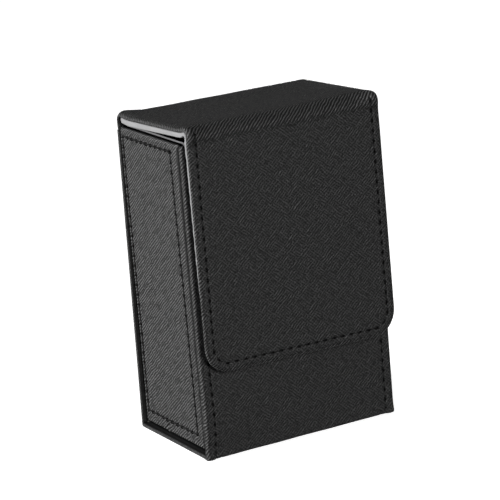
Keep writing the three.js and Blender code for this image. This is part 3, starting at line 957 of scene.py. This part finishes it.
def panel_place(sign):
    """Places a side panel's sheet: a from front to back, b up. Only the left one is pinched."""
    def place(a, b, depth):
        front = front_face(b) + WALL + PANEL_FRONT_GAP
        back = BACK_Y - WALL - PANEL_BACK_GAP + 0.9 * smooth(20, 100, b)
        y = (front + back) / 2 + a * (back - front) / (2 * PANEL_HALF)
        proud = 0.55 * smooth(10, SIDE_TOP, b) + 0.05 * ripple(a, b, 31)
        pinch = panel_pinch(y, b) if sign < 0 else 0.0
        return np.stack([sign * (SIDE_FACE + proud - pinch - depth), y, b + 0 * a], -1)
    return place


def panel_profile():
    """The panel's rim, without the tucked end."""
    rim = edge_profile(0, SIDE_DEPTH, 0.9, 0.3, 0.0, reach=1.1)[1:]
    return rim + face_profile(1.1, 5.9, 8.0, 0.0)


def build_hem(side, place):
    """The cover's leather turned in under the side panel, seen at the bottom of the joint, painted near black
    as its shade.
    """
    floor = SIDE_DEPTH + 0.1
    face = [(-2.2, floor + 0.1), (-0.6, floor), (0.0, floor), (0.5, floor)]
    profile = face[-1:] + [(0.5, floor + 0.2), (-2.2, floor + 0.3)] + face
    hem = build_sheet(f"side_hem_{side}", HEM_SHADE, place, PANEL_HALF, PANEL_FOOT + 0.8, SIDE_TOP - 2.0, profile,
                      radius=0.9, caps=(False, False))
    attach(hem, "box")


def panel_fall(a, b):
    """The soft round of the panel's front edge, which falls away into the joint; its deeper part is painted
    as shade.
    """
    from_edge = np.clip((a + PANEL_HALF) / FALL_WIDTH, 0, 1)
    return FALL_DEPTH * (1 - from_edge) ** 1.5 + 0 * b


def panel_seam():
    """A closed rectangle of stitches. Its back side draws in towards the foot."""
    front, back_foot, back_top = -PANEL_HALF + 4.5, PANEL_HALF - 2.2, PANEL_HALF - 1.9
    low, high = 7.1, 102.6
    corners = [(back_foot, low), (back_top, high), (front + 0.9, high), (front, low), (back_foot, low)]
    return [Seam([p, q]) for p, q in zip(corners, corners[1:])]


def build_side_panels():
    for side, sign in (("left", -1), ("right", 1)):
        place = panel_place(sign)
        seams = panel_seam()
        pressed = seam_dents(seams)
        # Deeper than `hidden`, and where its front edge falls away, the panel is painted as shade.
        panel = build_sheet(f"side_panel_{side}", LIT_SIDE_LEATHER, place, PANEL_HALF, PANEL_FOOT, SIDE_TOP,
                            panel_profile(), radius=0.9, side_step=SEAM_STEP, end_step=SEAM_STEP,
                            dents=lambda a, b: np.maximum(pressed(a, b), panel_fall(a, b)),
                            outward=((sign * SIDE_FACE, 0, 50), (sign, 0, 0)), hidden=0.8)
        build_hem(side, place)
        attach(panel, "box")
        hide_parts(f"side_leather_{side}")
        for edge, seam in zip(("back", "top", "front", "bottom"), seams):
            piece = build_stitches(f"side_stitches_{side}_{edge}", seam, place, THREAD, sunk=0.12, stout=1.6)
            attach(piece, "box")
            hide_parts(f"side_thread_{side}")


def finish_cad_nodes():
    """The boards and magnets keep their CAD shape and take a better material."""
    for name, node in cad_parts.items():
        if "board" in name or "magnet" in name:
            material = BOARD if "board" in name else STEEL
            if not node.material_slots:
                node.data.materials.append(None)
            for slot in node.material_slots:
                slot.link = "OBJECT"
                slot.material = material


# ---- Camera, stage and lights, in metres ----

AZIMUTH, ELEVATION, ROLL = math.radians(-29.69), math.radians(15.36), math.radians(-4.12)
LENS = 184.68         # in millimetres
CAMERA_DISTANCE = 0.86215
AIM_RIGHT = -0.00234  # from the box's middle to the point aimed at
AIM_UP = 0.00496
FLOOR_RADIUS = 2.6    # of the stage's flat floor
CURVE_RADIUS = 0.8    # of the turn from the floor up to the wall
WALL_TOP = 3.2


def add_camera():
    """Aimed near the box's middle, from the front left and above, and rolled a little."""
    level = math.cos(ELEVATION)
    back = Vector((math.sin(AZIMUTH) * level, -math.cos(AZIMUTH) * level, math.sin(ELEVATION)))
    level_right = (-back).cross(Vector((0, 0, 1))).normalized()
    level_up = level_right.cross(-back)
    right = level_right * math.cos(ROLL) + level_up * math.sin(ROLL)
    up = level_up * math.cos(ROLL) - level_right * math.sin(ROLL)
    aim = Vector((0, 0, HEIGHT * MM / 2)) + right * AIM_RIGHT + up * AIM_UP
    data = bpy.data.cameras.new("camera")
    data.sensor_width = 36
    data.lens = LENS
    camera = bpy.data.objects.new("camera", data)
    matrix = Matrix((right, up, back)).transposed().to_4x4()
    matrix.translation = aim + back * CAMERA_DISTANCE
    camera.matrix_world = matrix
    bpy.context.scene.collection.objects.link(camera)
    bpy.context.scene.camera = camera


def add_stage():
    """A pale floor that turns up into a wall all round."""
    profile = [(0.0, 0.0), (FLOOR_RADIUS, 0.0)]
    for turn in np.linspace(0.1, math.pi / 2, 10):
        profile.append((FLOOR_RADIUS + CURVE_RADIUS * math.sin(turn), CURVE_RADIUS * (1 - math.cos(turn))))
    profile.append((FLOOR_RADIUS + CURVE_RADIUS, WALL_TOP))
    count = 64
    points, faces = [(0, 0, 0)], []
    for radius, height in profile[1:]:
        for k in range(count):
            angle = 2 * math.pi * k / count
            points.append((radius * math.cos(angle), radius * math.sin(angle), height))
    for k in range(count):
        after = (k + 1) % count
        faces.append((0, 1 + k, 1 + after))
        for row in range(len(profile) - 2):
            first, second = 1 + row * count, 1 + (row + 1) * count
            faces.append((first + k, second + k, second + after, first + after))
    mesh = bpy.data.meshes.new("stage")
    mesh.from_pydata(points, [], faces)
    mesh.polygons.foreach_set("use_smooth", [True] * len(mesh.polygons))
    graph = Graph("stage")
    graph.shade("Base Color", (0.72, 0.72, 0.72, 1))
    graph.shade("Roughness", 1.0)
    graph.shade("Specular IOR Level", 0.0)
    graph.shade("Emission Color", (1, 1, 1, 1))
    graph.shade("Emission Strength", 0.75)
    mesh.materials.append(graph.material)
    stage = bpy.data.objects.new("stage", mesh)
    stage.visible_glossy = False
    stage.visible_diffuse = False
    stage.visible_shadow = False
    bpy.context.scene.collection.objects.link(stage)


def add_light(name, place, size, power):
    data = bpy.data.lights.new(name, "AREA")
    data.shape = "RECTANGLE"
    data.size, data.size_y = size
    data.energy = power
    light = bpy.data.objects.new(name, data)
    towards = Vector((0, 0, HEIGHT * MM / 2)) - Vector(place)
    light.matrix_world = Matrix.Translation(place) @ towards.to_track_quat("-Z", "Y").to_matrix().to_4x4()
    bpy.context.scene.collection.objects.link(light)


def add_lights():
    add_light("left_softbox", (-1.2, 0.35, 0.4), (0.5, 0.5), 36)
    add_light("low_back_fill", (0.9, 1.2, 0.02), (0.8, 0.04), 12)
    add_light("front_fill", (-0.3, -1.3, 0.5), (0.3, 0.3), 17)
    world = bpy.data.worlds.new("studio")
    world.use_nodes = True
    world.node_tree.nodes["Background"].inputs[0].default_value = (1, 1, 1, 1)
    world.node_tree.nodes["Background"].inputs[1].default_value = 0.09
    bpy.context.scene.world = world
    bpy.context.scene.view_settings.view_transform = "Standard"


add_camera()
add_stage()
add_lights()
build_box_leather()
build_hinge_leather()
build_flap_leather()
build_lid_lining()
build_hinge_lining()
build_wall_linings()
build_side_panels()
finish_cad_nodes()
